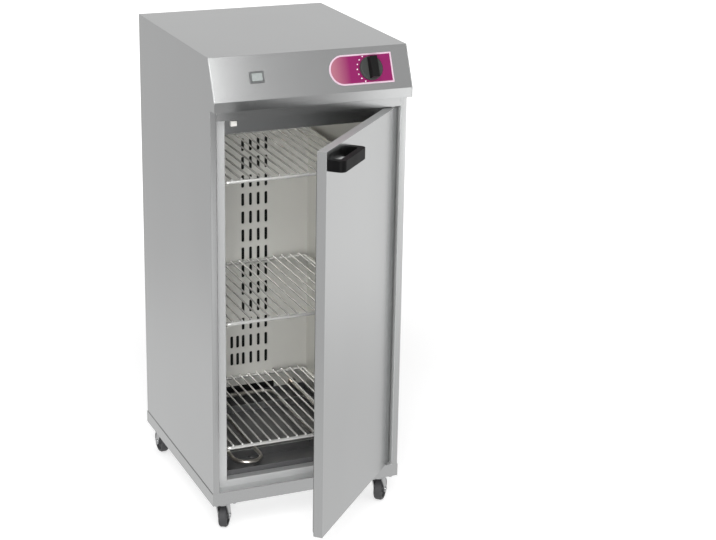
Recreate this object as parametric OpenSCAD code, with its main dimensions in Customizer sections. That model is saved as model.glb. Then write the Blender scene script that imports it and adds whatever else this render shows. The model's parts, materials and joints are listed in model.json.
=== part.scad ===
// Hot cupboard for warming plates: a folded stainless cabinet on castors with
// a sloped control hood, one hinged door, wire shelves and a slotted air panel.
// Millimetres. +Z is up, the front faces -Y, the origin is on the floor under the
// middle of the cabinet.

/* [Cabinet] */
// Width over the base band
body_w = 400; // [370:5:480]
// Depth from the front plane to the back
body_d = 445; // [430:5:520]
// Height of the cabinet without its castors
body_h = 900; // [880:5:960]
// Thickness of the casing sheet
sheet = 1.2; // [0.8:0.1:1.5]
// Height of the band that the base pan turns up round the sides
band_h = 25; // [18:1:30]
// Thickness of the liner sheet
liner_t = 1; // [0.8:0.1:1.5]

/* [Hood] */
// Top front edge behind the front plane
hood_setback = 10; // [6:1:20]
// Lip in front of the front plane
lip_reach = 24; // [16:1:32]
// Height of the sloped control panel
slope_h = 77; // [72:1:90]
// Height of the upright lip under the slope
lip_h = 19; // [14:1:24]

/* [Door opening] */
// Width of the casing's front flanges
flange_w = 14; // [12:1:18]
// Depth of the rebate that the door closes into
rebate_d = 24; // [24:0.5:28]
// Width of the rebate beside the cavity
rebate_w = 24; // [22:1:27]
// Height of the rebate above the cavity
rebate_top = 32; // [31:1:38]
// Height of the rebate below the cavity
rebate_low = 14; // [14:1:22]
// Height of the front rail under the hood
rail_top_h = 22; // [16:1:28]
// Height of the front rail under the door
rail_low_h = 27; // [25:1:32]
// Gap all round the door
door_gap = 2.5; // [2.3:0.1:3.5]

/* [Door] */
// Thickness of the door
door_t = 18; // [16:0.5:18]
// Thickness of the door skins
door_sheet = 1; // [0.8:0.1:1.2]
// Opening angle of the door as it stands
door_open = 46; // [0:1:110]
// Hinge axis in from the door's edge
hinge_in = 12; // [9:0.5:12]
// Hinge axis behind the door's face
hinge_back = 6; // [5.9:0.1:6.4]
// Diameter of the hinge pins
pin_d = 6; // [4:0.5:6]
// Wall of the bushes that the pins turn in
bush_wall = 1.7; // [1:0.1:1.7]
// Length of the bushes
bush_l = 14; // [8:1:20]
// Seal in from the door's side edges
seal_in = 9.5; // [9.5:0.5:12]
// Seal in from the door's bottom edge
seal_low = 2; // [1:0.5:3]
// Seal in from the door's top edge
seal_top = 19.5; // [18:0.5:20]
// Width of the seal
seal_w = 8; // [5:0.5:8]
// Gap between the seal and the rebate when the door is shut
seal_gap = 0.5; // [0.3:0.1:1]

/* [Handle] */
// Length of the bow handle
handle_l = 112; // [95:1:135]
// Reach of the handle from the door
handle_reach = 28; // [26:1:44]
// Height of the handle
handle_h = 21; // [14:1:26]
// Thickness of the handle's bar and legs
handle_bar = 12; // [10:1:14]
// Outer corner radius of the handle
handle_r = 11; // [8:1:16]
// Inner corner radius of the handle
handle_r_in = 6; // [4:1:9]
// Middle of the handle below the door's top edge
handle_drop = 28; // [20:1:48]
// End of the handle in from the door's free edge
handle_edge = 14; // [8:1:30]
// Diameter of the handle screws
handle_screw_d = 5; // [4:0.5:6]

/* [Air panel] */
// Space between the back liner and the back of the cabinet
back_space = 26; // [22:1:32]
// Height of the air panel above the back liner
duct_d = 11; // [8:1:25]
// Half of the air panel's width
duct_half = 76; // [74:1:90]
// Width of a slot
slot_w = 6.5; // [4:0.5:8]
// Length of a slot
slot_l = 28; // [18:1:32]
// Distance between slot columns
slot_step_x = 17.5; // [14:0.5:18]
// Distance between slot rows
slot_step_z = 40.3; // [36:0.1:46]
// Outermost column from the middle
slot_out_x = 62.5; // [60:0.5:65]
// Rows in the two short columns
short_rows = 2; // [1:1:6]
// Middle of the lowest row above the cabinet's underside
slot_low_z = 133; // [125:1:170]

/* [Shelves] */
// Lowest shelf above the cabinet's underside
shelf_low_z = 99; // [90:1:130]
// Middle shelf above the cabinet's underside
shelf_mid_z = 364; // [280:1:420]
// Top shelf's wires below the cavity's ceiling
shelf_top_down = 98; // [70:1:190]
// Front of the shelves behind the front plane
shelf_front = 56; // [46:1:90]
// Diameter of the shelf wires
wire_d = 4; // [2.5:0.5:5]
// Diameter of the shelf frame
rim_d = 7; // [5:0.5:8]
// Distance between the shelf wires
wire_step = 19.5; // [15:0.5:30]
// Width of the shelf runners
runner_w = 19; // [14:1:24]
// Gap between a shelf's side and the liner
shelf_side_gap = 9.5; // [2:0.5:12]

/* [Heating] */
// Height of the dark drip tray on the cavity floor
pan_h = 12; // [8:1:12]
// Diameter of the heating rod
rod_d = 8; // [6:0.5:9]
// Outer runs of the rod in from the cavity's sides
rod_side = 34; // [28:1:46]
// Distance between two runs of the rod at a front turn
rod_pitch = 58; // [44:1:66]
// Middle of the rod above the tray's floor
rod_lift = 16; // [14:1:18]

/* [Controls] */
// Middle of the knob in from the right side
knob_in = 82; // [75:1:100]
// Diameter of the knob's skirt
knob_d = 46; // [40:1:52]
// Height of the knob
knob_h = 22; // [16:1:30]
// Diameter of the thermostat's spindle
spindle_d = 6; // [5:0.5:8]
// Width of the control plate
plate_w = 129; // [115:1:140]
// Height of the control plate along the slope
plate_h = 58; // [54:1:64]
// Border of the control plate
plate_rim = 3; // [2:0.5:5]
// Thickness of the control plate
plate_t = 0.8; // [0.5:0.1:1.5]
// Plate's right end right of the knob's middle
plate_right = 45; // [36:1:50]
// Middle of the pilot lamp in from the left side
lamp_in = 90; // [60:1:120]
// Width of the lamp's bezel
lamp_w = 28; // [24:1:36]
// Height of the lamp's bezel
lamp_h = 22; // [18:1:28]

/* [Castors] */
// Height of the castors
castor_h = 70; // [68:1:80]
// Diameter of the wheels
wheel_d = 50; // [40:1:52]
// Width of the wheels
wheel_w = 18; // [14:1:24]
// Trail of the wheels behind the swivel axis
trail = 18; // [16:1:26]
// Swivel axis in from the cabinet's sides, front and back
castor_in = 30; // [28:1:45]
// Side of the castor plates
castor_plate = 50; // [48:1:56]
// Direction of the front left castor
swivel_fl = 59; // [0:1:359]
// Direction of the front right castor
swivel_fr = 50; // [0:1:359]
// Direction of the back left castor
swivel_bl = 92; // [0:1:359]
// Direction of the back right castor
swivel_br = 58; // [0:1:359]

/* [Hidden] */
$fn = 48;

// Clearances
run_gap = 0.05;   // pin or shaft turning in a bore
seat_gap = 0.2;   // loose piece beside its seat
face_gap = 0.3;   // moving face beside a fixed one

// Planes of the cabinet
y_front = -body_d / 2;
y_back = body_d / 2;
z_base = castor_h;
z_top = z_base + body_h;
z_lip = z_top - slope_h - lip_h;
z_rail_top = z_lip - rail_top_h;
z_ceiling = z_rail_top - rebate_top;
z_rail_low = z_base + rail_low_h;
z_sill = z_rail_low + rebate_low;
x_side = body_w / 2 - sheet;
x_panel = x_side - sheet;
x_flange = body_w / 2 - flange_w;
x_cav = x_flange - rebate_w;
x_wall = x_cav + sheet;
y_rebate = y_front + rebate_d;
y_inner = y_rebate + sheet;
y_wall = y_back - back_space;
z_floor = z_sill - sheet;
z_roof = z_ceiling + sheet;
frame_lip = 18;
rear_flange = 15;
post_lap = 8;

// Control slope
slope_run = hood_setback + lip_reach;
slope_len = norm([slope_run, slope_h]);
slope_a = atan2(slope_run, slope_h);
slope_mid = slope_len / 2;

// Control space above the cavity
roof_insulation = 25;
tray_t = 1;
z_tray = z_roof + liner_t + roof_insulation;

// Door, as it is when shut
door_x = x_flange - door_gap;
door_z0 = z_rail_low + door_gap;
door_z1 = z_rail_top - door_gap;
hinge_x = door_x - hinge_in;
hinge_y = y_front + hinge_back;
bush_r = pin_d / 2 + bush_wall;
pin_len = bush_l - 1;
washer_t = 1;
washer_r = hinge_back - 0.5;
seal_t = rebate_d - door_t - seal_gap;
strike_t = 1.2;
catch_in = 17;
catch_x = x_cav - catch_in;
catch_w = 12;
catch_h = 10;
catch_down = 4.5;
catch_z = door_z1 - catch_h / 2 - catch_down;
catch_gap = 0.8;
catch_t = rebate_d - door_t - strike_t - catch_gap;

// Handle
handle_x = -door_x + handle_edge + handle_l / 2;
handle_z = door_z1 - handle_drop;
handle_screw_x = handle_l / 2 - handle_bar / 2;
handle_screw_in = 8;

// Air panel and its slots
duct_t = liner_t;
duct_margin = 12;
duct_y = y_wall - duct_d;
duct_foot = 10;
duct_lift = 30;
slot_rows = floor((z_ceiling - z_base - slot_low_z - slot_l / 2 - duct_margin) / slot_step_z) + 1;
right_columns = 4;
left_columns = 2;
full_columns = concat([for (i = [0:right_columns - 1]) slot_out_x - i * slot_step_x],
  [for (i = [0:left_columns - 1]) i * slot_step_x - slot_out_x]);
short_x = 3;
short_step = 13.5;
short_columns = [-short_x - short_step, -short_x];

// Shelves
shelf_top_z = z_ceiling - z_base - shelf_top_down;
shelf_x = x_wall - shelf_side_gap - rim_d / 2;
shelf_y0 = y_front + shelf_front + rim_d / 2;
shelf_y1 = duct_y - duct_t - seat_gap - 1 - rim_d / 2;
weld = 0.4;
rim_bend = 9;
wire_over = 1.5;
runner_t = 1.2;
runner_drop = rim_d / 2 + wire_d - weld + rim_d / 2;
wires = floor((2 * shelf_x - rim_d) / wire_step);

// Heating
pan_t = 1;
pan_gap = 4;
rod_z = z_floor + pan_t + rod_lift;
rod_y0 = y_inner + frame_lip + 12;
rod_y1 = y_wall - 30;
rod_out = x_cav - rod_side;
rod_in = rod_out - rod_pitch;
rod_bend = rod_pitch / 2;
rod_runs = [-rod_out, -rod_in, rod_in, rod_out];
rod_tail = 14;
rod_nut_r = 9;
rod_nut_l = 4;
bracket_t = 2;
bracket_side = 12;

// Thermostat, wiring and gland
knob_x = body_w / 2 - knob_in;
thermostat = [44, 40, 32];
bush_d = 10;
spindle_in = 10;
spindle_x_gap = 1;
bulb_d = 6;
bulb_l = 90;
cap_d = 2;
cap_gap = 0.5;
bulb_in = 57;
bulb_x = x_cav - bulb_in;
bulb_y = y_wall - bulb_d / 2 - seat_gap;
block = [60, 24, 18];
loom_d = 6;
loom_back = 40;
loom_in = 12;
gland_in = 80;
gland_x = body_w / 2 - gland_in;
block_side = 60;
block_back = 40;
block_x = gland_x - block_side;
block_y = y_wall - block_back;
gland_z = z_tray + 36;
gland_r = 8;
gland_bore = 4.5;
gland_cut = 40;
nut_r = 12;

// Pilot lamp
lamp_x = body_w / 2 - lamp_in;
bezel_t = 3;
bezel_rim = 3.5;
lamp_step = 1.6;
lamp_deep = 18;
lens_in = 6;
lens_out = 1;

// Castors
plate_t2 = 2.5;
race_r = 15;
race_h = 4;
crown_t = 3;
crown_r = 17;
king_r = 4;
king_head = 2;
leg_t = 2.5;
axle_r = 4;
hub_gap = 0.5;
bolt_r = 2.5;
bolt_at = castor_plate / 2 - 6.5;
bolt_head = 3;
castors = [
  [-body_w / 2 + castor_in, y_front + castor_in, swivel_fl],
  [body_w / 2 - castor_in, y_front + castor_in, swivel_fr],
  [-body_w / 2 + castor_in, y_back - castor_in, swivel_bl],
  [body_w / 2 - castor_in, y_back - castor_in, swivel_br]];

// Colours
steel = [0.72, 0.73, 0.72];
liner_steel = [0.70, 0.70, 0.66];
bright = [0.86, 0.86, 0.86];
black = [0.09, 0.09, 0.09];
wool = [0.85, 0.80, 0.62];
magenta = [0.66, 0.12, 0.42];

// Folded sheet: a path along one face, thickened to the left, mitred at each bend
function unit(v) = v / norm(v);
function left_of(v) = [-v[1], v[0]];
function bend(pts, i, t) =
  let (
    last = len(pts) - 1,
    a = left_of(unit(i > 0 ? pts[i] - pts[i - 1] : pts[1] - pts[0])),
    b = left_of(unit(i < last ? pts[i + 1] - pts[i] : pts[last] - pts[last - 1]))
  )
  pts[i] + t * (a + b) / (1 + a * b);
function fold(pts, t) = concat(pts, [for (i = [len(pts) - 1:-1:0]) bend(pts, i, t)]);

module across(x0, x1) {
  translate([x0, 0, 0]) rotate([90, 0, 90]) linear_extrude(x1 - x0) children();
}

module upright(z0, z1) {
  translate([0, 0, z0]) linear_extrude(z1 - z0) children();
}

module block_between(a, b) {
  translate(a) cube(b - a);
}

// Places children on the control slope: X across, Y up the slope, Z outward
module on_slope(x, up) {
  translate([x, y_front - lip_reach, z_top - slope_h])
    rotate([90 - slope_a, 0, 0])
      translate([0, up, 0]) children();
}

// Turns the shut door to the angle that it stands at
module door_pose() {
  translate([hinge_x, hinge_y, 0]) rotate([0, 0, door_open])
    translate([-hinge_x, -hinge_y, 0]) children();
}

module castor_bolt_places(r, z0, z1) {
  for (c = castors) for (i = [-1, 1]) for (j = [-1, 1])
    translate([c[0] + i * bolt_at, c[1] + j * bolt_at, z0]) cylinder(r = r, h = z1 - z0);
}

// Cabinet
module base_pan() color(steel) {
  difference() {
    union() {
      block_between([-body_w / 2, y_front, z_base], [body_w / 2, y_back, z_base + sheet]);
      for (s = [-1, 1])
        translate([s * (body_w / 2 - sheet / 2) - sheet / 2, y_front, z_base]) cube([sheet, body_d, band_h]);
      block_between([-body_w / 2, y_back - sheet, z_base], [body_w / 2, y_back, z_base + band_h]);
      block_between([-body_w / 2, y_front, z_base], [body_w / 2, y_front + sheet, z_rail_low]);
    }
    castor_bolt_places(bolt_r + seat_gap, z_base - 1, z_base + sheet + 1);
  }
}

module side_panel() {
  across(-x_side, -x_panel) polygon([
    [y_back - sheet, z_base + sheet], [y_back - sheet, z_top],
    [y_front + hood_setback, z_top], [y_front - lip_reach, z_top - slope_h],
    [y_front - lip_reach, z_lip], [y_front, z_lip], [y_front, z_rail_low],
    [y_front + sheet, z_rail_low], [y_front + sheet, z_base + sheet]]);
  upright(z_rail_low, z_lip) polygon(fold([
    [-x_side, y_rebate], [-x_side, y_front], [-x_flange, y_front], [-x_flange, y_rebate]], sheet));
  block_between([-x_side, y_back - 3 * sheet, z_base + band_h], [-x_side + rear_flange, y_back - 2 * sheet, z_top - sheet]);
}

module side_panel_left() color(steel) side_panel();

module side_panel_right() color(steel) mirror([1, 0, 0]) side_panel();

screw_x = x_panel - rear_flange / 2;
screw_r = 2;
screw_rows = 4;
screw_edge = 60;
vent_slots = 8;
vent_w = 5;
vent_l = 30;
vent_step = 14;

module screw_places() {
  for (s = [-1, 1]) for (i = [0:screw_rows - 1])
    translate([s * screw_x, y_back - sheet, z_base + screw_edge + i * (body_h - 2 * screw_edge) / (screw_rows - 1)])
      rotate([90, 0, 0]) children();
}

module back_panel() color(steel) {
  difference() {
    block_between([-x_panel, y_back - 2 * sheet, z_base + sheet], [x_panel, y_back - sheet, z_top - sheet]);
    translate([0, 0, 0]) screw_places() translate([0, 0, -1]) cylinder(r = screw_r + seat_gap, h = 2 * sheet + 2);
    translate([gland_x, y_back, gland_z]) rotate([90, 0, 0]) cylinder(r = gland_r + seat_gap, h = 4 * sheet);
    for (i = [0:vent_slots - 1])
      translate([-gland_x / 2 + (i - (vent_slots - 1) / 2) * vent_step - vent_w / 2, y_back - 3 * sheet, gland_z - vent_l / 2])
        cube([vent_w, 3 * sheet, vent_l]);
  }
}

module panel_screws() color(bright) {
  screw_places() {
    translate([0, 0, -2]) cylinder(r = 2 * screw_r, h = 2);
    cylinder(r = screw_r, h = sheet);
  }
}

module top_cover() color(steel) {
  difference() {
    across(-x_panel, x_panel) polygon(fold([
      [y_back - sheet, z_top], [y_front + hood_setback, z_top], [y_front - lip_reach, z_top - slope_h],
      [y_front - lip_reach, z_lip], [y_front + post_lap, z_lip]], sheet));
    on_slope(knob_x, slope_mid) translate([0, 0, -2 * sheet]) cylinder(r = bush_d / 2 + seat_gap, h = 4 * sheet);
    on_slope(-lamp_x, slope_mid) lamp_shank(seat_gap, 2 * sheet);
  }
}

module frame_post() {
  upright(z_rail_low, z_rail_top)
    polygon(fold([[-x_flange - post_lap, y_rebate], [-x_cav - 1, y_rebate], [-x_cav, y_rebate]], sheet));
  upright(z_floor, z_roof)
    polygon(fold([[-x_cav - 2 * sheet, y_rebate], [-x_cav, y_rebate], [-x_cav, y_rebate + frame_lip]], sheet));
}

module frame_post_left() color(steel) frame_post();

module frame_post_right() color(steel) mirror([1, 0, 0]) frame_post();

module frame_rail_top() color(steel) {
  difference() {
    union() {
      across(-x_flange, x_flange) polygon(fold([[y_front, z_lip], [y_front, z_rail_top], [y_inner, z_rail_top]], sheet));
      across(-x_cav, x_cav) polygon(fold([
        [y_rebate, z_rail_top + sheet], [y_rebate, z_ceiling], [y_rebate + frame_lip, z_ceiling]], sheet));
    }
    translate([hinge_x, hinge_y, z_rail_top - 1]) cylinder(d = pin_d + 2 * seat_gap, h = sheet + 2);
  }
}

module frame_rail_bottom() color(steel) {
  difference() {
    union() {
      across(-x_flange, x_flange) polygon(fold([
        [y_front + sheet, z_rail_low - rail_low_h / 2], [y_front + sheet, z_rail_low], [y_inner, z_rail_low]], -sheet));
      across(-x_cav, x_cav) polygon(fold([
        [y_rebate, z_rail_low - sheet], [y_rebate, z_sill], [y_rebate + frame_lip, z_sill]], -sheet));
    }
    translate([hinge_x, hinge_y, z_rail_low - sheet - 1]) cylinder(d = pin_d + 2 * seat_gap, h = sheet + 2);
  }
}

// Cavity liner and insulation
module liner_side() {
  block_between([-x_wall - liner_t, y_inner, z_floor], [-x_wall, y_wall + liner_t, z_roof]);
}

module liner_left() color(liner_steel) liner_side();

module liner_right() color(liner_steel) mirror([1, 0, 0]) liner_side();

module rod_tail_places(r, y0, y1) {
  for (s = [-1, 1])
    translate([s * rod_out, y1, rod_z]) rotate([90, 0, 0]) cylinder(r = r, h = y1 - y0);
}

module liner_back() color(liner_steel) {
  difference() {
    block_between([-x_wall, y_wall, z_floor], [x_wall, y_wall + liner_t, z_roof]);
    rod_tail_places(rod_d / 2 + seat_gap, y_wall - 1, y_wall + liner_t + 1);
  }
}

module capillary_hole(z0, z1) {
  translate([bulb_x, bulb_y, z0]) cylinder(d = cap_d + 2 * cap_gap, h = z1 - z0);
}

module liner_top() color(liner_steel) {
  difference() {
    block_between([-x_wall - liner_t, y_inner, z_roof], [x_wall + liner_t, y_wall + liner_t, z_roof + liner_t]);
    capillary_hole(z_roof - 1, z_roof + liner_t + 1);
  }
}

module liner_floor() color(liner_steel) {
  block_between([-x_wall - liner_t, y_inner, z_floor - liner_t], [x_wall + liner_t, y_wall + liner_t, z_floor]);
}

module insulation_side() {
  block_between([-x_panel + seat_gap, y_inner + seat_gap, z_floor],
    [-x_wall - liner_t - seat_gap, y_wall + liner_t, z_roof]);
}

module insulation_left() color(wool) insulation_side();

module insulation_right() color(wool) mirror([1, 0, 0]) insulation_side();

wiring_h = 60;

module insulation_back() color(wool) {
  block_between([-x_wall, y_wall + liner_t + seat_gap, z_floor + wiring_h],
    [x_wall, y_back - 3 * sheet - seat_gap, z_roof]);
}

module insulation_top() color(wool) {
  difference() {
    block_between([-x_wall, y_inner + seat_gap, z_roof + liner_t], [x_wall, y_wall + liner_t, z_tray - seat_gap]);
    capillary_hole(z_roof, z_tray);
  }
}

module control_tray() color(steel) {
  difference() {
    union() {
      block_between([-x_panel + seat_gap, y_inner + sheet, z_tray], [x_panel - seat_gap, y_wall + liner_t, z_tray + tray_t]);
      for (s = [0, 1]) mirror([s, 0, 0])
        block_between([-x_panel + seat_gap, y_inner + sheet, z_tray],
          [-x_panel + seat_gap + tray_t, y_wall + liner_t, z_tray + rear_flange]);
    }
    capillary_hole(z_tray - 1, z_tray + tray_t + 1);
  }
}

// Air panel with its field of slots
module slot() {
  square([slot_w, slot_l - slot_w], center = true);
  for (s = [-1, 1]) translate([0, s * (slot_l - slot_w) / 2]) circle(d = slot_w);
}

module slot_column(x, rows) {
  for (r = [0:rows - 1]) translate([x, z_base + slot_low_z + r * slot_step_z]) slot();
}

module air_panel() color(liner_steel) {
  upright(z_floor + duct_lift, z_roof) for (s = [0, 1]) mirror([s, 0, 0])
    polygon(fold([[-duct_half - duct_foot, y_wall], [-duct_half, y_wall], [-duct_half, duct_y]], -duct_t));
  translate([0, duct_y, 0]) rotate([90, 0, 0]) linear_extrude(duct_t) difference() {
    translate([-duct_half - duct_t, z_floor + duct_lift])
      square([2 * (duct_half + duct_t), z_roof - z_floor - duct_lift]);
    for (x = full_columns) slot_column(x, slot_rows);
    for (x = short_columns) slot_column(x, short_rows);
  }
}

// Heating
module drip_tray() color([0.22, 0.22, 0.23]) {
  px = x_cav - pan_gap;
  py0 = y_rebate + frame_lip + 1;
  py1 = y_wall - pan_gap;
  difference() {
    block_between([-px, py0, z_floor], [px, py1, z_floor + pan_h]);
    block_between([-px + pan_t, py0 + pan_t, z_floor + pan_t], [px - pan_t, py1 - pan_t, z_floor + pan_h + 1]);
  }
}

module rod_run(x, y0, y1) {
  translate([x, y1, rod_z]) rotate([90, 0, 0]) cylinder(d = rod_d, h = y1 - y0);
}

module rod_turn(x, y, start, sweep) {
  translate([x, y, rod_z]) rotate([0, 0, start])
    rotate_extrude(angle = sweep) translate([rod_bend, 0]) circle(d = rod_d);
}

module heating_element() color(bright) {
  bend_y0 = rod_y0 + rod_bend;
  bend_y1 = rod_y1 - rod_bend;
  cross = rod_in - rod_bend;
  for (s = [-1, 1]) {
    rod_run(s * rod_out, bend_y0, y_wall + liner_t + rod_tail);
    rod_run(s * rod_in, bend_y0, bend_y1);
    rod_turn(s * (rod_in + rod_bend), bend_y0, 180, 180);
  }
  rod_turn(-cross, bend_y1, 90, 90);
  rod_turn(cross, bend_y1, 0, 90);
  translate([-cross, rod_y1, rod_z]) rotate([0, 90, 0]) cylinder(d = rod_d, h = 2 * cross);
  rod_tail_places(rod_nut_r, y_wall - rod_nut_l, y_wall);
}

module element_brackets() color(bright) {
  bx = rod_out + bracket_side;
  for (y = [rod_y0 + 2 * rod_bend, rod_y1 - 2 * rod_bend])
    difference() {
      block_between([-bx, y, z_floor + pan_t], [bx, y + bracket_t, rod_z]);
      for (x = rod_runs)
        translate([x, y - 1, rod_z]) rotate([-90, 0, 0])
          cylinder(r = rod_d / 2 + seat_gap, h = bracket_t + 2);
    }
}

// Shelves
module shelf_runners() color(liner_steel) {
  for (z = [shelf_low_z, shelf_mid_z, shelf_top_z]) for (s = [0, 1]) mirror([s, 0, 0])
    translate([0, shelf_y1 + rim_d / 2, z_base + z - runner_drop]) rotate([90, 0, 0])
      linear_extrude(shelf_y1 - shelf_y0 + rim_d)
        polygon(fold([[-x_wall, -runner_w], [-x_wall, 0], [-x_wall + runner_w, 0]], -runner_t));
}

module bar_x(y, z, d, short) {
  half = shelf_x - short;
  translate([-half, y, z]) rotate([0, 90, 0]) cylinder(d = d, h = 2 * half);
}

module bar_y(x, z, d, short) {
  translate([x, shelf_y0 + short, z]) rotate([-90, 0, 0]) cylinder(d = d, h = shelf_y1 - shelf_y0 - 2 * short);
}

module rim_elbow(x, y, z, start) {
  translate([x, y, z]) rotate([0, 0, start])
    rotate_extrude(angle = 90) translate([rim_bend, 0]) circle(d = rim_d);
}

// A rim bent from thick wire, with thin wires welded on top
module wire_shelf(z) {
  wire_z = z_base + z - wire_d / 2;
  rim_z = wire_z - wire_d / 2 - rim_d / 2 + weld;
  bend_x = shelf_x - rim_bend;
  for (y = [shelf_y0, shelf_y1]) bar_x(y, rim_z, rim_d, rim_bend);
  for (s = [-1, 1]) bar_y(s * shelf_x, rim_z, rim_d, rim_bend);
  rim_elbow(bend_x, shelf_y1 - rim_bend, rim_z, 0);
  rim_elbow(-bend_x, shelf_y1 - rim_bend, rim_z, 90);
  rim_elbow(-bend_x, shelf_y0 + rim_bend, rim_z, 180);
  rim_elbow(bend_x, shelf_y0 + rim_bend, rim_z, 270);
  for (i = [0:wires - 1])
    bar_y((i - (wires - 1) / 2) * wire_step, wire_z, wire_d, -wire_over);
}

module shelf_bottom() color(bright) wire_shelf(shelf_low_z);

module shelf_middle() color(bright) wire_shelf(shelf_mid_z);

module shelf_top() color(bright) wire_shelf(shelf_top_z);

// Controls in the hood
module thermostat_body() color([0.80, 0.78, 0.72]) {
  difference() {
    on_slope(knob_x, slope_mid) {
      translate([-thermostat[0] / 2, -thermostat[1] / 2, -sheet - thermostat[2]]) cube(thermostat);
      translate([0, 0, -sheet - 1]) cylinder(d = bush_d, h = sheet + 1 + plate_t);
    }
    on_slope(knob_x, slope_mid)
      translate([0, 0, -sheet - spindle_in]) cylinder(d = spindle_d + 2 * run_gap, h = spindle_in + 20);
  }
}

// Straight run of wire with a round end
module tube_run(a, b, d) {
  v = b - a;
  translate(a) rotate([0, acos(v[2] / norm(v)), atan2(v[1], v[0])]) cylinder(d = d, h = norm(v));
  translate(b) sphere(d = d);
}

// Capillary from the back of the thermostat over the tray and down to the bulb
cap_over = 6;
cap_knee = 40;
bulb_drop = 15;

module thermostat_bulb() color([0.75, 0.48, 0.30]) {
  back_y = y_front - lip_reach + slope_mid * sin(slope_a) + (thermostat[2] + sheet) * cos(slope_a);
  back_z = z_top - slope_h + slope_mid * cos(slope_a) - (thermostat[2] + sheet) * sin(slope_a);
  run_y = bulb_y - cap_d / 2;
  run_z = z_tray + tray_t + cap_over;
  across(bulb_x - cap_d / 2, bulb_x + cap_d / 2) polygon(fold([
    [back_y + cap_d, back_z], [back_y + cap_knee, run_z], [run_y, run_z], [run_y, z_roof - bulb_drop - 1]], cap_d));
  translate([bulb_x, bulb_y, z_roof - bulb_drop - bulb_l]) cylinder(d = bulb_d, h = bulb_l);
}

module terminal_block() color([0.90, 0.89, 0.85]) {
  poles = 5;
  step = block[0] / poles;
  difference() {
    translate([block_x - block[0] / 2, block_y - block[1] / 2, z_tray + tray_t]) cube(block);
    for (i = [0:poles - 1])
      translate([block_x - block[0] / 2 + (i + 0.5) * step, block_y, z_tray + tray_t + block[2] / 2])
        cylinder(r = 3, h = block[2]);
  }
}

// Loom from the pilot lamp along the tray to the terminal block
module wiring_loom() color(black) {
  z = z_tray + tray_t + loom_d / 2 + seat_gap;
  front_y = y_inner + loom_back;
  mid_x = block_x - loom_in;
  lamp_back = y_front - lip_reach + slope_mid * sin(slope_a) + (lamp_deep + sheet) * cos(slope_a);
  lamp_low = z_top - slope_h + slope_mid * cos(slope_a) - (lamp_deep + sheet) * sin(slope_a);
  tube_run([-lamp_x, lamp_back + loom_d / 2, lamp_low], [-lamp_x, front_y, z], loom_d);
  tube_run([-lamp_x, front_y, z], [mid_x, front_y, z], loom_d);
  tube_run([mid_x, front_y, z], [mid_x, block_y - block[1] / 2 - seat_gap - loom_d / 2, z], loom_d);
}

module lamp_shank(gap, above) {
  w = lamp_w - 2 * lamp_step + 2 * gap;
  h = lamp_h - 2 * lamp_step + 2 * gap;
  translate([-w / 2, -h / 2, -lamp_deep - sheet]) cube([w, h, lamp_deep + sheet + above]);
}

module lamp_window(gap, z0, z1) {
  w = lamp_w - 2 * bezel_rim - 2 * gap;
  h = lamp_h - 2 * bezel_rim - 2 * gap;
  translate([-w / 2, -h / 2, z0]) cube([w, h, z1 - z0]);
}

module pilot_lamp_bezel() color(black) {
  on_slope(-lamp_x, slope_mid) difference() {
    union() {
      translate([-lamp_w / 2, -lamp_h / 2, 0]) cube([lamp_w, lamp_h, bezel_t]);
      lamp_shank(0, 1);
    }
    lamp_window(0, -lens_in, bezel_t + 1);
  }
}

module pilot_lamp_lens() color([0.90, 0.92, 0.88]) {
  on_slope(-lamp_x, slope_mid) lamp_window(seat_gap / 2, -lens_in, bezel_t + lens_out);
}

// Control plate with one round end
module d_plate(inset) {
  h = plate_h - 2 * inset;
  x1 = plate_right - inset;
  x0 = plate_right - plate_w + inset;
  translate([x0 + h / 2, -h / 2]) square([x1 - x0 - h / 2, h]);
  translate([x0 + h / 2, 0]) circle(d = h);
}

module control_plate_frame() color([0.93, 0.86, 0.89]) {
  on_slope(knob_x, slope_mid) linear_extrude(plate_t) difference() {
    d_plate(0);
    d_plate(plate_rim);
  }
}

module control_plate_field() color(magenta) {
  on_slope(knob_x, slope_mid) linear_extrude(plate_t) difference() {
    d_plate(plate_rim);
    circle(r = bush_d / 2 + seat_gap);
  }
}

knob_skirt = 6;
knob_grip_w = 14;

module control_knob() color(black) {
  on_slope(knob_x, slope_mid) translate([0, 0, plate_t + face_gap]) difference() {
    union() {
      rotate_extrude() polygon([
        [0, 0], [knob_d / 2, 0], [knob_d / 2, knob_skirt - 2], [knob_d / 2 - 2, knob_skirt], [0, knob_skirt]]);
      translate([-knob_grip_w / 2, -knob_d / 2 + 3, 0]) cube([knob_grip_w, knob_d - 6, knob_h]);
    }
    translate([0, 0, -1]) cylinder(d = spindle_d + 2 * seat_gap, h = knob_h - 4);
  }
}

module thermostat_spindle() color(bright) {
  on_slope(knob_x, slope_mid)
    translate([0, 0, -sheet - spindle_in + spindle_x_gap])
      cylinder(d = spindle_d, h = spindle_in + sheet + plate_t + knob_h - 6 - spindle_x_gap);
}

module cable_gland() color(black) {
  translate([gland_x, y_back - 2 * sheet, gland_z]) rotate([-90, 0, 0]) difference() {
    union() {
      translate([0, 0, -8]) cylinder(r = gland_r, h = 14);
      translate([0, 0, -5]) cylinder(r = nut_r, h = 5, $fn = 6);
      translate([0, 0, sheet]) cylinder(r = nut_r, h = 5, $fn = 6);
      translate([0, 0, sheet + 5]) rotate_extrude() polygon([[0, 0], [nut_r - 1.6, 0], [nut_r - 1.6, 9], [nut_r - 4, 14], [0, 14]]);
    }
    translate([0, 0, -10]) cylinder(r = gland_bore, h = gland_cut);
  }
}

// Catch, hinge and door
module magnet_catch() color([0.92, 0.92, 0.90]) {
  block_between([-catch_x - catch_w / 2, y_rebate - catch_t, catch_z - catch_h / 2],
    [-catch_x + catch_w / 2, y_rebate, catch_z + catch_h / 2]);
}

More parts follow.
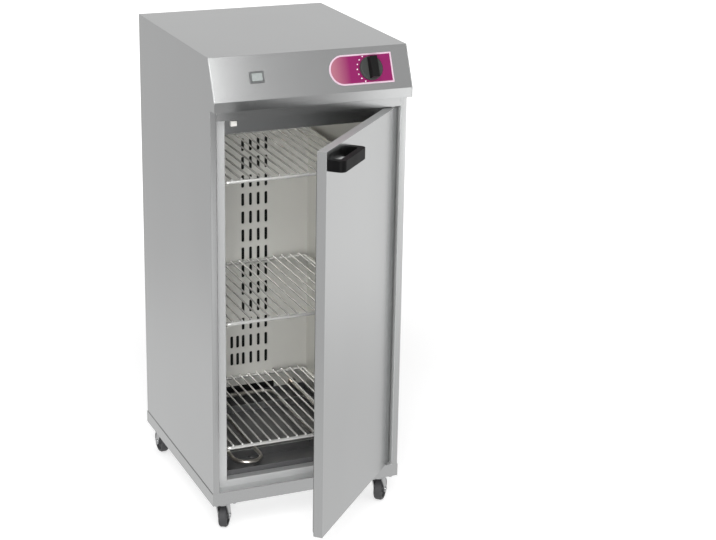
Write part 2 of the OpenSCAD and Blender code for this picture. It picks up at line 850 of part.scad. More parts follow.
module hinge_pins() color(bright) {
  seat = 8;
  seat_r = hinge_back - 2 * sheet - seat_gap;
  translate([hinge_x, hinge_y, 0]) {
    translate([0, 0, door_z1 - pin_len]) cylinder(d = pin_d, h = z_rail_top + sheet - door_z1 + pin_len);
    translate([0, 0, z_rail_top + sheet]) cylinder(r = seat_r, h = seat);
    translate([0, 0, z_rail_top - washer_t]) cylinder(r = washer_r, h = washer_t);
    translate([0, 0, z_rail_low - sheet]) cylinder(d = pin_d, h = door_z0 + pin_len - z_rail_low + sheet);
    translate([0, 0, z_rail_low - sheet - seat]) cylinder(r = seat_r, h = seat);
    translate([0, 0, z_rail_low]) cylinder(r = washer_r, h = washer_t);
  }
}

// Bushes in the door's top and bottom edges, each with a thin flange outside
module bush_places(r, extra) {
  for (z = [door_z0 - extra, door_z1 - bush_l])
    translate([hinge_x, hinge_y, z]) cylinder(r = r, h = bush_l + extra);
}

module bush_flanges() {
  flange_t = door_gap - washer_t - face_gap;
  for (z = [door_z0 - flange_t, door_z1])
    translate([hinge_x, hinge_y, z]) cylinder(r = washer_r, h = flange_t);
}

module handle_screw_places(r, y0, y1) {
  for (s = [-1, 1])
    translate([handle_x + s * handle_screw_x, y1, handle_z]) rotate([90, 0, 0]) cylinder(r = r, h = y1 - y0);
}

module door_outer_skin() color(steel) door_pose() {
  difference() {
    block_between([-door_x, y_front, door_z0], [door_x, y_front + door_t, door_z1]);
    block_between([-door_x + door_sheet, y_front + door_sheet, door_z0 + door_sheet],
      [door_x - door_sheet, y_front + door_t + 1, door_z1 - door_sheet]);
    bush_places(bush_r + run_gap, 1);
    handle_screw_places(handle_screw_d / 2 + seat_gap, y_front - 1, y_front + door_sheet + 1);
  }
}

module door_inner_skin() color(liner_steel) door_pose() {
  block_between([-door_x + door_sheet, y_front + door_t - door_sheet, door_z0 + door_sheet],
    [door_x - door_sheet, y_front + door_t, door_z1 - door_sheet]);
}

module door_insulation() color(wool) door_pose() {
  y0 = y_front + door_sheet + seat_gap;
  y1 = y_front + door_t - door_sheet - seat_gap;
  difference() {
    block_between([-door_x + door_sheet + seat_gap, y0, door_z0 + door_sheet + seat_gap],
      [hinge_x - bush_r - seat_gap, y1, door_z1 - door_sheet - seat_gap]);
    handle_screw_places(handle_screw_d + seat_gap, y0 - 1, y0 + 4);
  }
}

module door_seal() color([0.35, 0.35, 0.34]) door_pose() {
  y0 = y_front + door_t;
  a = [-door_x + seal_in, y0, door_z0 + seal_low];
  b = [door_x - seal_in, y0 + seal_t, door_z1 - seal_top];
  difference() {
    block_between(a, b);
    block_between(a + [seal_w, -1, seal_w], b + [-seal_w, 1, -seal_w]);
  }
}

// Outline of a bow with two rounded corners, standing on its open side
module bow(l, reach, r) {
  square_y = reach - r;
  translate([-l / 2, -square_y]) square([l, square_y]);
  translate([-l / 2 + r, -reach]) square([l - 2 * r, reach]);
  for (s = [-1, 1]) translate([s * (l / 2 - r), -square_y]) circle(r = r);
}

module door_handle() color(black) door_pose() {
  difference() {
    translate([handle_x, y_front, handle_z - handle_h / 2]) linear_extrude(handle_h) difference() {
      intersection() {
        bow(handle_l, handle_reach, handle_r);
        translate([-handle_l, -2 * handle_reach]) square([2 * handle_l, 2 * handle_reach]);
      }
      translate([0, 1]) bow(handle_l - 2 * handle_bar, handle_reach - handle_bar + 1, handle_r_in);
    }
    handle_screw_places(handle_screw_d / 2 + seat_gap, y_front - handle_screw_in - 1, y_front + 1);
  }
}

module handle_screws() color(bright) door_pose() {
  handle_screw_places(handle_screw_d / 2, y_front - handle_screw_in, y_front + door_sheet + 0.5);
  handle_screw_places(handle_screw_d, y_front + door_sheet, y_front + door_sheet + 3);
}

module hinge_bushes() color([0.88, 0.88, 0.84]) door_pose() {
  difference() {
    union() {
      bush_places(bush_r, 0);
      bush_flanges();
    }
    translate([hinge_x, hinge_y, 0]) cylinder(d = pin_d + 2 * run_gap, h = z_top);
  }
}

module strike_plate() color(bright) door_pose() {
  block_between([-catch_x - catch_w / 2, y_front + door_t, catch_z - catch_h / 2],
    [-catch_x + catch_w / 2, y_front + door_t + strike_t, catch_z + catch_h / 2]);
}

// Castors
z_race = z_base - plate_t2 - race_h;
z_crown = z_race - face_gap - crown_t;

module castor_plates() color(bright) {
  for (c = castors) translate([c[0], c[1], 0]) {
    difference() {
      translate([-castor_plate / 2, -castor_plate / 2, z_base - plate_t2]) cube([castor_plate, castor_plate, plate_t2]);
      for (i = [-1, 1]) for (j = [-1, 1])
        translate([i * bolt_at, j * bolt_at, z_base - plate_t2 - 1]) cylinder(r = bolt_r + seat_gap, h = plate_t2 + 2);
    }
    translate([0, 0, z_race]) cylinder(r = race_r, h = race_h);
    translate([0, 0, z_crown - face_gap]) cylinder(r = king_r, h = z_race - z_crown + face_gap);
    translate([0, 0, z_crown - face_gap - king_head]) cylinder(r = king_r + 3, h = king_head);
  }
}

module castor_bolts() color(bright) {
  castor_bolt_places(bolt_r, z_base - plate_t2 - bolt_head, z_base + sheet + bolt_head);
  for (c = castors) for (i = [-1, 1]) for (j = [-1, 1]) translate([c[0] + i * bolt_at, c[1] + j * bolt_at, 0]) {
    translate([0, 0, z_base - plate_t2 - bolt_head]) cylinder(r = bolt_r + 2, h = bolt_head, $fn = 6);
    translate([0, 0, z_base + sheet]) cylinder(r = bolt_r + 2, h = bolt_head, $fn = 6);
  }
}

// Places children in one castor's frame: the wheel trails along +X
module castor_frame(i) {
  translate([castors[i][0], castors[i][1], 0]) rotate([0, 0, castors[i][2]]) children();
}

// Fork: a round crown, two tapered legs and the axle riveted between them
module fork(i) color(bright) castor_frame(i) {
  inner = wheel_w / 2 + hub_gap;
  difference() {
    union() {
      translate([0, 0, z_crown]) cylinder(r = crown_r, h = crown_t);
      for (s = [-1, 1]) translate([0, s * (inner + leg_t / 2) + leg_t / 2, 0]) rotate([90, 0, 0]) linear_extrude(leg_t) {
        polygon([[-crown_r * 0.7, z_crown + crown_t], [crown_r * 0.75, z_crown + crown_t],
          [trail + axle_r * 2, wheel_d / 2], [trail - axle_r * 2, wheel_d / 2]]);
        translate([trail, wheel_d / 2]) circle(r = axle_r * 2);
      }
      translate([trail, inner + leg_t + 1.5, wheel_d / 2]) rotate([90, 0, 0]) cylinder(r = axle_r, h = 2 * (inner + leg_t + 1.5));
    }
    translate([0, 0, z_crown - 1]) cylinder(r = king_r + run_gap, h = crown_t + 2);
    translate([0, 0, z_crown - 40]) cylinder(r = king_r + 3 + face_gap, h = 40);
  }
}

module fork_fl() fork(0);
module fork_fr() fork(1);
module fork_bl() fork(2);
module fork_br() fork(3);

// Wheel: a revolved tread with a recessed web and a hub
module wheel(i) color([0.16, 0.16, 0.17]) castor_frame(i) {
  r = wheel_d / 2;
  w = wheel_w / 2;
  bore = axle_r + run_gap;
  translate([trail, 0, r]) rotate([90, 0, 0]) rotate_extrude($fn = 64) polygon([
    [bore, -w], [bore + 4, -w], [bore + 5, -w + 4], [r - 7, -w + 4], [r - 6, -w + 1], [r - 2, -w + 1], [r, -w + 4],
    [r, w - 4], [r - 2, w - 1], [r - 6, w - 1], [r - 7, w - 4], [bore + 5, w - 4], [bore + 4, w], [bore, w]]);
}

module wheel_fl() wheel(0);
module wheel_fr() wheel(1);
module wheel_bl() wheel(2);
module wheel_br() wheel(3);

base_pan();
side_panel_left();
side_panel_right();
back_panel();
top_cover();
frame_post_left();
frame_post_right();
frame_rail_top();
frame_rail_bottom();
liner_left();
liner_right();
liner_back();
liner_top();
liner_floor();
insulation_left();
insulation_right();
insulation_back();
insulation_top();
control_tray();
air_panel();
drip_tray();
heating_element();
element_brackets();
shelf_runners();
shelf_bottom();
shelf_middle();
shelf_top();
thermostat_body();
thermostat_bulb();
terminal_block();
wiring_loom();
pilot_lamp_bezel();
pilot_lamp_lens();
control_plate_frame();
control_plate_field();
cable_gland();
magnet_catch();
hinge_pins();
panel_screws();
castor_plates();
castor_bolts();
door_outer_skin();
door_inner_skin();
door_insulation();
door_seal();
door_handle();
handle_screws();
hinge_bushes();
strike_plate();
control_knob();
thermostat_spindle();
fork_fl();
fork_fr();
fork_bl();
fork_br();
wheel_fl();
wheel_fr();
wheel_bl();
wheel_br();
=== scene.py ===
"""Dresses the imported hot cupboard: folded satin sheet, wire shelves, door, controls and castors."""

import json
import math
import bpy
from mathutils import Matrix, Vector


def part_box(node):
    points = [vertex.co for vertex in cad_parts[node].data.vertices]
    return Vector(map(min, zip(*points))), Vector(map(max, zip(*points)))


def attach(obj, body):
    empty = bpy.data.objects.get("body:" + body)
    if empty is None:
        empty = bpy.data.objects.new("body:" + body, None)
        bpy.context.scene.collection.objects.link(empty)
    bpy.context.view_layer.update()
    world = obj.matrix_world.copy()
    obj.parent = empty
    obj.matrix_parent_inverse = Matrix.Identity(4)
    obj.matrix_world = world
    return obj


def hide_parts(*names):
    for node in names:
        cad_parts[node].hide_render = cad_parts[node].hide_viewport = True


bl_info = {
    "name": "Hot cupboard dressing",
    "version": (1, 0, 0),
    "blender": (4, 5, 0),
    "location": "3D View > Sidebar > Hot cupboard",
    "description": "Builds the visible pieces and finishes of a hot cupboard on its packed frame",
    "category": "Object",
}

import bmesh
import bpy
from mathutils import Matrix, Vector

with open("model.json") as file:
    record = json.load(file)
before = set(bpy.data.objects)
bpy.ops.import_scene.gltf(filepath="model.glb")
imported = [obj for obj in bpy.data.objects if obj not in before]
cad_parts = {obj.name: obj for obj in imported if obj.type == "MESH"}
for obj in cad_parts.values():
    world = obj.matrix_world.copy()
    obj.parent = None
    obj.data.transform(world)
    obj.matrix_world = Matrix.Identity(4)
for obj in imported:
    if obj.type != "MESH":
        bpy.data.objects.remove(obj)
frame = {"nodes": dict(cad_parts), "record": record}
NODES = frame["nodes"]
BODIES = frame["record"]["behaviour"]["bodies"]
BODY_OF = {node: body for body, members in BODIES.items() for node in members}
SLOT_OF = {part["node"]: part["material_slot"] for part in frame["record"]["subparts"]}
JOINT_OF = {joint["name"]: joint for joint in frame["record"]["behaviour"]["joints"]}
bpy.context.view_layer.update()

# Meshing of the softened sheet pieces
MERGE_GAP = 2e-6
FLAT_ANGLE = math.radians(0.4)
FOLD_ANGLE = math.radians(20)
SMOOTH_ANGLE = math.radians(32)
BROAD_BENDS = 2.2

# Bend radius and edge radius of the small pieces, in metres
RUNNER_BEND = 0.001
TRAY_BEND = 0.0012
BRACKET_BEND = 0.0006
SEAL_ROUND = (0.002, 0.001)
CATCH_ROUND = (0.0008, 0.0005)
BEZEL_ROUND = (0.0008, 0.0004)
LENS_ROUND = (0.0012, 0.0006)
GLAND_ROUND = (0.0006, 0.0004)
FORK_ROUND = (0.0006, 0.0004)

# Shelves, screws and dial, in metres
SHELF_CORNER = 0.009
WIRE_OVERHANG = 0.0015
WELD_DEPTH = 0.0004
SCREW_ROWS = 4
SCREW_PROUD = 0.002
DIAL_RADIUS = 0.0275
DOT_RADIUS = 0.0013
DOT_DEPTH = 0.0002
DOT_COUNT = 7
DOT_LIFT = 0.0008
GRIP_LIFT = 0.0065
PLATE_FADE = (0.044, 0.076)

# Roughness ranges, and how much of the sheet's look is metal
CASING_ROUGH = (0.17, 0.27)
HOOD_ROUGH = (0.13, 0.19)
LINER_ROUGH = (0.36, 0.48)
LINER_METAL = 0.45
JAMB_ROUGH = (0.30, 0.42)
JAMB_METAL = 0.5
SHEET_BUMP = 0.06

# Stage: picture width in pixels, sensor width in millimetres, the rest in metres
PICTURE_PX = 716.0
SENSOR_MM = 36.0
TARGET_HEIGHT = 0.450
FLOOR_REACH = 8.0

# Levels on the stage: from one place to another, from one level to another
FLOOR_SEEN = (0.7, 2.2, 0.50, 0.90)
FLOOR_AWAY = (0.6, 1.8, 0.82, 1.0)
FLOOR_ACROSS = (-1.2, 1.5, 0.66, 1.04)
FLOOR_AHEAD = (-3.2, -2.5, 0.42, 1.15)
FLOOR_BEHIND = (-1.5, -0.7, 1.15, 1.0)
WORLD_FRONT = (-0.85, 0.15, 0.57, 0.71)
WORLD_LIGHT = 0.45

# Lamps: name, power setting, share of it, diameter, place, target
LAMPS = (
    ("key", "key_power", 1.0, 1.6, (-1.15, -2.4, 2.6), (0.0, 0.0, 0.5)),
    ("fill", "fill_power", 1.0, 1.2, (-1.1, -3.0, 0.9), (0.0, 0.0, 0.45)),
    ("high_card", "card_power", 1.0, 0.9, (0.27, -2.6, 2.5), (0.0, -0.2, 0.93)),
    ("low_card", "card_power", 0.45, 0.9, (1.38, -2.15, 0.47), (0.1, -0.2, 0.7)),
)


# Sizes and colours that a user would change

class CupboardSizes(bpy.types.PropertyGroup):
    """Radii and diameters of the dressed pieces."""

    bend_radius: bpy.props.FloatProperty(
        name="Bend radius", description="Outer radius of the sheet's folds",
        default=0.0022, min=0.0005, max=0.004, unit="LENGTH")
    edge_radius: bpy.props.FloatProperty(
        name="Edge radius", description="Rounding of a cut sheet edge",
        default=0.0003, min=0.0001, max=0.0005, unit="LENGTH")
    door_bend: bpy.props.FloatProperty(
        name="Door bend radius", description="Outer radius of the door skin's folds",
        default=0.0015, min=0.0005, max=0.003, unit="LENGTH")
    handle_round: bpy.props.FloatProperty(
        name="Handle rounding", description="Rounding of the handle's long edges",
        default=0.0042, min=0.001, max=0.006, unit="LENGTH")
    knob_round: bpy.props.FloatProperty(
        name="Knob rounding", description="Rounding of the knob's edges",
        default=0.0016, min=0.0005, max=0.003, unit="LENGTH")
    shelf_wire: bpy.props.FloatProperty(
        name="Shelf wire", description="Diameter of the wires laid front to back",
        default=0.004, min=0.002, max=0.005, unit="LENGTH")
    shelf_rim: bpy.props.FloatProperty(
        name="Shelf rim", description="Diameter of the shelf's rim",
        default=0.007, min=0.004, max=0.008, unit="LENGTH")
    shelf_step: bpy.props.FloatProperty(
        name="Wire spacing", description="Distance between neighbouring wires",
        default=0.0195, min=0.015, max=0.03, unit="LENGTH")
    screw_head: bpy.props.FloatProperty(
        name="Screw head", description="Diameter of a panel screw's head",
        default=0.008, min=0.005, max=0.01, unit="LENGTH")


class CupboardColours(bpy.types.PropertyGroup):
    """Colours of the finishes, linear."""

    casing: bpy.props.FloatVectorProperty(
        name="Casing", description="Satin stainless casing", subtype="COLOR", size=3,
        default=(0.50, 0.505, 0.505), min=0.0, max=1.0)
    liner: bpy.props.FloatVectorProperty(
        name="Liner", description="Stainless liner of the cavity", subtype="COLOR", size=3,
        default=(0.72, 0.715, 0.68), min=0.0, max=1.0)
    wire: bpy.props.FloatVectorProperty(
        name="Wire", description="Bright plated shelf wire", subtype="COLOR", size=3,
        default=(0.86, 0.86, 0.84), min=0.0, max=1.0)
    zinc: bpy.props.FloatVectorProperty(
        name="Zinc", description="Zinc plated castor and hinge parts", subtype="COLOR", size=3,
        default=(0.46, 0.465, 0.47), min=0.0, max=1.0)
    plate: bpy.props.FloatVectorProperty(
        name="Control plate", description="Printed field of the control plate", subtype="COLOR", size=3,
        default=(0.225, 0.010, 0.098), min=0.0, max=1.0)
    plate_pale: bpy.props.FloatVectorProperty(
        name="Control plate, pale end", description="Lighter left end of the printed field",
        subtype="COLOR", size=3,
        default=(0.36, 0.13, 0.18), min=0.0, max=1.0)
    border: bpy.props.FloatVectorProperty(
        name="Plate border", description="Pale border of the control plate", subtype="COLOR", size=3,
        default=(0.62, 0.46, 0.55), min=0.0, max=1.0)
    handle: bpy.props.FloatVectorProperty(
        name="Handle", description="Black moulded handle", subtype="COLOR", size=3,
        default=(0.004, 0.004, 0.0042), min=0.0, max=1.0)
    wheel: bpy.props.FloatVectorProperty(
        name="Wheel", description="Dark castor wheel", subtype="COLOR", size=3,
        default=(0.045, 0.045, 0.048), min=0.0, max=1.0)


class CupboardStage(bpy.types.PropertyGroup):
    """Viewpoint and light."""

    azimuth: bpy.props.FloatProperty(
        name="Azimuth", description="Turn of the camera to the left of the front", subtype="ANGLE",
        default=math.radians(23.54))
    elevation: bpy.props.FloatProperty(
        name="Elevation", description="Height angle of the camera", subtype="ANGLE",
        default=math.radians(19.17))
    roll: bpy.props.FloatProperty(
        name="Roll", description="Lean of the camera about its axis", subtype="ANGLE",
        default=math.radians(1.07))
    distance: bpy.props.FloatProperty(
        name="Distance", description="Camera to the middle of the cabinet's front", unit="LENGTH",
        default=3.4857)
    shift_right: bpy.props.FloatProperty(
        name="Slide right", description="Camera moved to its right", unit="LENGTH", default=0.0944)
    shift_up: bpy.props.FloatProperty(
        name="Slide up", description="Camera moved upward", unit="LENGTH", default=0.0221)
    focal_px: bpy.props.FloatProperty(
        name="Focal length in pixels", description="Focal length for a picture 716 pixels wide",
        default=1800.0)
    key_power: bpy.props.FloatProperty(
        name="Key power", description="Power of the large soft lamp", default=40.0, min=0.0)
    fill_power: bpy.props.FloatProperty(
        name="Fill power", description="Power of the front fill lamp", default=54.0, min=0.0)
    card_power: bpy.props.FloatProperty(
        name="Card power", description="Power of the small card that shows in the slope",
        default=4.6, min=0.0)


# Materials

def node_material(name):
    """A new node material with its Principled shader."""
    mat = bpy.data.materials.new(name)
    mat.use_nodes = True
    return mat, mat.node_tree, mat.node_tree.nodes["Principled BSDF"]


def object_noise(tree, scale, noise_scale, detail=3.0, rough=0.55):
    """Noise on Object coordinates, stretched by a Mapping node."""
    coords = tree.nodes.new("ShaderNodeTexCoord")
    mapping = tree.nodes.new("ShaderNodeMapping")
    mapping.inputs["Scale"].default_value = scale
    noise = tree.nodes.new("ShaderNodeTexNoise")
    noise.inputs["Scale"].default_value = noise_scale
    noise.inputs["Detail"].default_value = detail
    noise.inputs["Roughness"].default_value = rough
    tree.links.new(coords.outputs["Object"], mapping.inputs["Vector"])
    tree.links.new(mapping.outputs["Vector"], noise.inputs["Vector"])
    return noise


def ramp(tree, source, start, end, low, high, kind="SMOOTHSTEP"):
    """A change of level between two values of a source."""
    node = tree.nodes.new("ShaderNodeMapRange")
    node.interpolation_type = kind
    for label, value in (("From Min", start), ("From Max", end), ("To Min", low), ("To Max", high)):
        node.inputs[label].default_value = value
    tree.links.new(source, node.inputs["Value"])
    return node.outputs["Result"]


def spread(tree, source, low, high):
    """Maps the middle half of a noise value to a range."""
    return ramp(tree, source, 0.25, 0.75, low, high, "LINEAR")


def operation(tree, kind, *sources):
    """One Math node; a source is a socket, or a constant for the node's own socket."""
    node = tree.nodes.new("ShaderNodeMath")
    node.operation = kind
    for socket, value in zip(node.inputs, sources):
        if isinstance(value, bpy.types.NodeSocket):
            tree.links.new(value, socket)
        else:
            socket.default_value = value
    return node.outputs[0]


def object_axes(tree, output="Object"):
    """The three coordinates of a place, and the vector itself."""
    coords = tree.nodes.new("ShaderNodeTexCoord")
    split = tree.nodes.new("ShaderNodeSeparateXYZ")
    tree.links.new(coords.outputs[output], split.inputs["Vector"])
    return split.outputs, coords.outputs[output]


def blend(tree, factor, a, b, target=None):
    """Mixes two colours by a factor socket, and feeds a target socket if there is one."""
    node = tree.nodes.new("ShaderNodeMix")
    node.data_type = "RGBA"
    node.inputs["A"].default_value = (*a, 1.0)
    node.inputs["B"].default_value = (*b, 1.0)
    tree.links.new(factor, node.inputs["Factor"])
    if target:
        tree.links.new(node.outputs["Result"], target)
    return node.outputs["Result"]


def add_bump(tree, shader, height, strength, distance):
    """Bump from a height socket."""
    bump = tree.nodes.new("ShaderNodeBump")
    bump.inputs["Strength"].default_value = strength
    bump.inputs["Distance"].default_value = distance
    tree.links.new(height, bump.inputs["Height"])
    tree.links.new(bump.outputs["Normal"], shader.inputs["Normal"])


def shade(colour, factor):
    """A lighter or darker colour."""
    return tuple(min(1.0, c * factor) for c in colour)


def satin_sheet(name, colour, grain, rough=CASING_ROUGH, metal=1.0):
    """Satin stainless: fine grain along one axis, faint rolling marks and smears."""
    mat, tree, shader = node_material(name)
    stretch = [1.0, 1.0, 1.0]
    stretch["xyz".index(grain)] = 0.012
    fine = object_noise(tree, stretch, 900.0, 2.0, 0.6)
    smear = object_noise(tree, (1.0, 1.0, 0.45), 5.0, 3.0, 0.5)
    blend(tree, smear.outputs["Fac"], shade(colour, 0.94), shade(colour, 1.06), shader.inputs["Base Color"])
    mixed = tree.nodes.new("ShaderNodeMix")
    mixed.inputs["Factor"].default_value = 0.4
    tree.links.new(fine.outputs["Fac"], mixed.inputs["A"])
    tree.links.new(smear.outputs["Fac"], mixed.inputs["B"])
    tree.links.new(spread(tree, mixed.outputs["Result"], *rough), shader.inputs["Roughness"])
    shader.inputs["Metallic"].default_value = metal
    add_bump(tree, shader, fine.outputs["Fac"], SHEET_BUMP, 0.0002)
    return mat


def plated(name, colour, rough=(0.16, 0.30), scale=60.0, metal=1.0):
    """Plated metal with faint cloudiness."""
    mat, tree, shader = node_material(name)
    cloud = object_noise(tree, (1.0, 1.0, 1.0), scale, 4.0)
    blend(tree, cloud.outputs["Fac"], shade(colour, 0.90), shade(colour, 1.08), shader.inputs["Base Color"])
    tree.links.new(spread(tree, cloud.outputs["Fac"], *rough), shader.inputs["Roughness"])
    shader.inputs["Metallic"].default_value = metal
    add_bump(tree, shader, cloud.outputs["Fac"], 0.05, 0.0003)
    return mat


def moulded(name, colour, rough=(0.35, 0.5), grain=1400.0, bump=0.15, coat=0.0, gloss=0.5):
    """Moulded plastic or rubber with a fine surface grain."""
    mat, tree, shader = node_material(name)
    fine = object_noise(tree, (1.0, 1.0, 1.0), grain, 2.0)
    wear = object_noise(tree, (1.0, 1.0, 1.0), 22.0, 3.0)
    blend(tree, wear.outputs["Fac"], shade(colour, 0.85), shade(colour, 1.2), shader.inputs["Base Color"])
    tree.links.new(spread(tree, wear.outputs["Fac"], *rough), shader.inputs["Roughness"])
    shader.inputs["Coat Weight"].default_value = coat
    shader.inputs["Specular IOR Level"].default_value = gloss
    add_bump(tree, shader, fine.outputs["Fac"], bump, 0.00015)
    return mat


def duct_sheet(name, colour, low, high):
    """Liner sheet with painted shade: near black between two places where the air duct covers it."""
    mat = satin_sheet(name, colour, "z", LINER_ROUGH, LINER_METAL)
    tree = mat.node_tree
    base = tree.nodes["Principled BSDF"].inputs["Base Color"]
    axes, _ = object_axes(tree)
    inside = operation(tree, "COMPARE", axes["X"], (low + high) / 2, (high - low) / 2)
    clean = base.links[0].from_socket
    # painted shade: near black on the liner behind the air duct, standing in for its shadow
    painted_duct_shade = blend(tree, inside, colour, (0.012, 0.012, 0.012), base)
    tree.links.new(clean, painted_duct_shade.node.inputs["A"])
    return mat


def printed_plate(name, field, pale, x_pale, x_field):
    """Printed film: a pale end that passes into the full colour, under a thin gloss."""
    mat, tree, shader = node_material(name)
    axes, _ = object_axes(tree)
    fade = ramp(tree, axes["X"], x_pale, x_field, 0.0, 1.0, "LINEAR")
    blend(tree, fade, pale, field, shader.inputs["Base Color"])
    fine = object_noise(tree, (1.0, 1.0, 1.0), 700.0, 2.0)
    tree.links.new(spread(tree, fine.outputs["Fac"], 0.32, 0.42), shader.inputs["Roughness"])
    shader.inputs["Specular IOR Level"].default_value = 0.25
    add_bump(tree, shader, fine.outputs["Fac"], 0.05, 0.0001)
    return mat


def heated_rod(name):
    """Rod sheath with straw and blue heat tints along its length."""
    mat, tree, shader = node_material(name)
    tint = object_noise(tree, (1.0, 0.5, 1.0), 14.0, 2.0)
    blend(tree, tint.outputs["Fac"], (0.58, 0.52, 0.44), (0.62, 0.62, 0.62), shader.inputs["Base Color"])
    tree.links.new(spread(tree, tint.outputs["Fac"], 0.24, 0.38), shader.inputs["Roughness"])
    shader.inputs["Metallic"].default_value = 1.0
    return mat


def wool_slab(name):
    """Mineral wool with matted fibres."""
    mat, tree, shader = node_material(name)
    fibre = object_noise(tree, (1.0, 0.2, 1.0), 260.0, 6.0, 0.7)
    blend(tree, fibre.outputs["Fac"], (0.50, 0.42, 0.22), (0.72, 0.66, 0.46), shader.inputs["Base Color"])
    shader.inputs["Roughness"].default_value = 0.95
    add_bump(tree, shader, fibre.outputs["Fac"], 0.6, 0.001)
    return mat


def lamp_lens(name):
    """Clear moulded lens with a fine prism grain."""
    mat, tree, shader = node_material(name)
    prism = object_noise(tree, (1.0, 1.0, 1.0), 500.0, 1.0)
    blend(tree, prism.outputs["Fac"], (0.24, 0.265, 0.26), (0.36, 0.385, 0.375), shader.inputs["Base Color"])
    shader.inputs["Roughness"].default_value = 0.18
    add_bump(tree, shader, prism.outputs["Fac"], 0.25, 0.0003)
    return mat


FINISH = {}


def make_finishes(colours):
    """All finishes of the cupboard, by name."""
    c = colours
    FINISH.update({
        "casing_upright": satin_sheet("satin_casing_upright", c.casing, "z"),
        "casing_across": satin_sheet("satin_casing_across", c.casing, "x"),
        "hood": satin_sheet("satin_hood", c.casing, "x", HOOD_ROUGH),
        "liner": satin_sheet("satin_liner", c.liner, "z", LINER_ROUGH, LINER_METAL),
        "liner_flat": satin_sheet("satin_liner_flat", c.liner, "y", LINER_ROUGH, LINER_METAL),
        # painted light: the door surround's two finishes below are lit copies of the casing, 1.16 times
        # lighter and half metal, so the shaded frame renders light
        "lit_jamb": satin_sheet("satin_jamb", shade(c.casing, 1.16), "z", JAMB_ROUGH, JAMB_METAL),
        "lit_sill": satin_sheet("satin_sill", shade(c.casing, 1.16), "x", JAMB_ROUGH, JAMB_METAL),
        # painted shade: the door's inner skin is the casing darkened to 0.6, for the shade on its cavity side
        "door_inside_shaded": satin_sheet("satin_door_inside", shade(c.casing, 0.6), "z"),
        # the back liner's sheet carries painted shade behind the air panel
        "duct": duct_sheet("satin_liner_duct_shaded", c.liner, *(v[0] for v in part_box("air_panel"))),
        "wire": plated("bright_wire", c.wire, (0.12, 0.24), 120.0, 0.6),
        "zinc": plated("zinc_plate", c.zinc, (0.26, 0.42), 90.0),
        "rod": heated_rod("rod_sheath"),
        # drip tray: a flat dark grey
        "tray": moulded("dark_grey_tray", (0.075, 0.075, 0.077), (0.26, 0.40), 500.0, 0.05, 0.1),
        "wool": wool_slab("mineral_wool"),
        "seal": moulded("grey_silicone", (0.10, 0.10, 0.098), (0.5, 0.65)),
        "handle": moulded("black_handle", c.handle, (0.34, 0.46), 1600.0, 0.04, 0.0, 0.06),
        "knob": moulded("dark_knob", (0.042, 0.045, 0.043), (0.34, 0.46), 1600.0, 0.05, 0.0, 0.3),
        # painted shade: the grip is near black beside the dark grey knob face, for the shade on its side
        "grip": moulded("grip_painted_shade", (0.005, 0.005, 0.005), (0.34, 0.46), 1600.0, 0.05, 0.0, 0.2),
        "bezel": moulded("lamp_bezel", (0.12, 0.125, 0.125), (0.34, 0.46), 1600.0, 0.05, 0.0, 0.3),
        "black": moulded("black_plastic", (0.018, 0.018, 0.019), (0.4, 0.55)),
        "wheel": moulded("wheel_rubber", c.wheel, (0.48, 0.66), 800.0, 0.25),
        "white": moulded("white_plastic", (0.78, 0.77, 0.73), (0.38, 0.5)),
        "cream": moulded("cream_case", (0.60, 0.56, 0.46), (0.45, 0.6)),
        "copper": plated("copper_capillary", (0.70, 0.36, 0.20), (0.22, 0.36), 150.0),
        "plate": printed_plate("printed_field", c.plate, c.plate_pale, *PLATE_FADE),
        "border": moulded("pale_border", c.border, (0.34, 0.44), 700.0, 0.04),
        "mark": moulded("pale_marks", (0.84, 0.76, 0.78), (0.4, 0.5)),
        "lens": lamp_lens("clear_lens"),
    })


# Mesh helpers

def finish_mesh(mesh):
    """Smooth shading with sharp edges kept."""
    mesh.shade_smooth()
    mesh.set_sharp_from_angle(angle=SMOOTH_ANGLE)


def add_piece(name, mesh, body, finish, slot, *replaced):
    """Links a mesh as a piece that rides on a body."""
    mesh.name = name
    mesh.materials.clear()
    mesh.materials.append(FINISH[finish])
    piece = bpy.data.objects.new(name, mesh)
    bpy.context.scene.collection.objects.link(piece)
    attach(piece, body)
    if replaced:
        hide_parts(*replaced)
    return piece


def baked(piece):
    """The evaluated mesh of an object, which is then removed."""
    bpy.context.view_layer.update()
    depsgraph = bpy.context.evaluated_depsgraph_get()
    mesh = bpy.data.meshes.new_from_object(piece.evaluated_get(depsgraph))
    old = piece.data
    bpy.data.objects.remove(piece)
    if old.users == 0:
        bpy.data.meshes.remove(old)
    return mesh


def softened(node, bend, edge, segments=3):
    """A merged copy of a CAD node: wide on bends between broad faces, narrow on cut edges."""
    bm = bmesh.new()
    bm.from_mesh(NODES[node].data)
    bmesh.ops.remove_doubles(bm, verts=bm.verts, dist=MERGE_GAP)
    bmesh.ops.dissolve_limit(bm, angle_limit=FLAT_ANGLE, verts=bm.verts, edges=bm.edges)
    weight = bm.edges.layers.float.new("bevel_weight_edge")
    for line in bm.edges:
        if len(line.link_faces) != 2 or line.calc_face_angle(0.0) < FOLD_ANGLE or not line.is_convex:
            continue
        breadth = min(face.calc_area() for face in line.link_faces) / max(line.calc_length(), MERGE_GAP)
        line[weight] = 1.0 if breadth > BROAD_BENDS * bend else edge / bend
    mesh = bpy.data.meshes.new(node + "_soft")
    bm.to_mesh(mesh)
    bm.free()
    piece = bpy.data.objects.new(node + "_soft", mesh)
    bpy.context.scene.collection.objects.link(piece)
    bevel = piece.modifiers.new("bends", "BEVEL")
    bevel.limit_method = "WEIGHT"
    bevel.width = bend
    bevel.segments = segments
    bevel.use_clamp_overlap = True
    shaped = baked(piece)
    finish_mesh(shaped)
    return even_normals(shaped)


